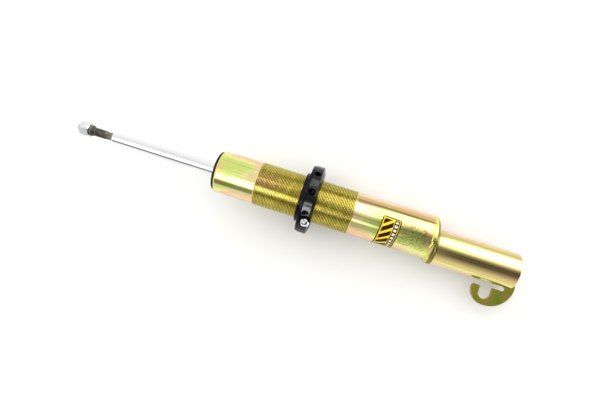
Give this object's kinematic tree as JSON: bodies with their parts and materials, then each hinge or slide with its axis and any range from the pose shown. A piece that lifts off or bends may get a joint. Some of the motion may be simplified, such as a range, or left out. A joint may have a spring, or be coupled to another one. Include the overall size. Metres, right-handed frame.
{
  "type": "coilover strut",
  "caption": "Adjustable suspension strut: threaded damper body, chrome rod, split height ring with spring seat, eccentric clamp tube and hose hook.",
  "frame": {"origin": "centre of the flat end face of the lower clamp tube", "axes": "+X along the strut's axis out of the lower end face, so the rod points to -X; +Y away from the hose bracket, +Z square to the bracket's plate"},
  "size_m": [0.632, 0.1101, 0.0934],
  "materials": {
    "yellow_zinc": "yellow zinc plate, iridescent satin",
    "chrome": "polished hard chrome",
    "black_anodised": "black anodised, semi-gloss",
    "bright_zinc": "bright zinc plate",
    "plain_steel": "plain ground steel",
    "sintered": "sintered iron, matt",
    "black_rubber": "matt",
    "dust_cap_plastic": "glossy black",
    "guide_bronze": "sintered bronze",
    "band_plastic": "filled fluoropolymer",
    "label_film": "printed film"
  },
  "bodies": {
    "housing": {"threaded_body": "yellow_zinc", "end_plate": "yellow_zinc", "lower_clamp_tube": "yellow_zinc", "lower_end_cap": "yellow_zinc", "hose_bracket": "yellow_zinc", "label": "label_film", "dust_cap": "dust_cap_plastic", "oil_seal": "black_rubber", "rod_guide": "sintered", "guide_bush": "guide_bronze", "guide_o_ring": "black_rubber", "cylinder_tube": "plain_steel", "base_valve_body": "sintered", "base_valve_disc": "plain_steel", "base_valve_spring": "plain_steel", "base_valve_nut": "plain_steel", "base_valve_bolt": "plain_steel"},
    "piston_band": {"piston_band": "band_plastic"},
    "rod": {"piston_rod": "chrome", "piston": "sintered", "compression_shims": "plain_steel", "rebound_shims": "plain_steel", "piston_nut": "plain_steel", "rebound_stop": "plain_steel", "rebound_bumper": "black_rubber"},
    "top_nut": {"top_nut": "bright_zinc", "top_washer": "plain_steel"},
    "spring_seat": {"spring_seat": "black_anodised"},
    "adjuster_ring": {"adjuster_ring": "black_anodised"},
    "clamp_screw": {"clamp_screw": "bright_zinc"}
  },
  "joints": [
    {"name": "rod_stroke", "type": "slide", "parent": "housing", "child": "piston_band", "axis": [1, 0, 0], "range_m": [0, 0.14], "stiffness_N_per_m": 350, "springref_m": -0.45},
    {"name": "rod_spin", "type": "hinge", "parent": "piston_band", "child": "rod", "pos_m": [-0.3325, 0.0095, 0], "axis": [1, 0, 0], "continuous": true},
    {"name": "top_nut_turn", "type": "hinge", "parent": "rod", "child": "top_nut", "pos_m": [-0.613, 0.0095, 0], "axis": [1, 0, 0], "continuous": true},
    {"name": "ring_turn", "type": "hinge", "parent": "spring_seat", "child": "adjuster_ring", "pos_m": [-0.278, 0.0095, 0], "axis": [1, 0, 0], "range_deg": [-10830, 8670]},
    {"name": "seat_height", "type": "slide", "parent": "housing", "child": "spring_seat", "axis": [1, 0, 0], "range_m": [-0.06, 0.048]},
    {"name": "clamp_screw_turn", "type": "hinge", "parent": "adjuster_ring", "child": "clamp_screw", "pos_m": [-0.2784, -0.02583, 0.01286], "axis": [0, 0.342, 0.9397], "continuous": true}
  ],
  "couplings": [
    {"joint": "ring_turn", "follows": "seat_height", "rad_per_m": 3141.6}
  ]
}
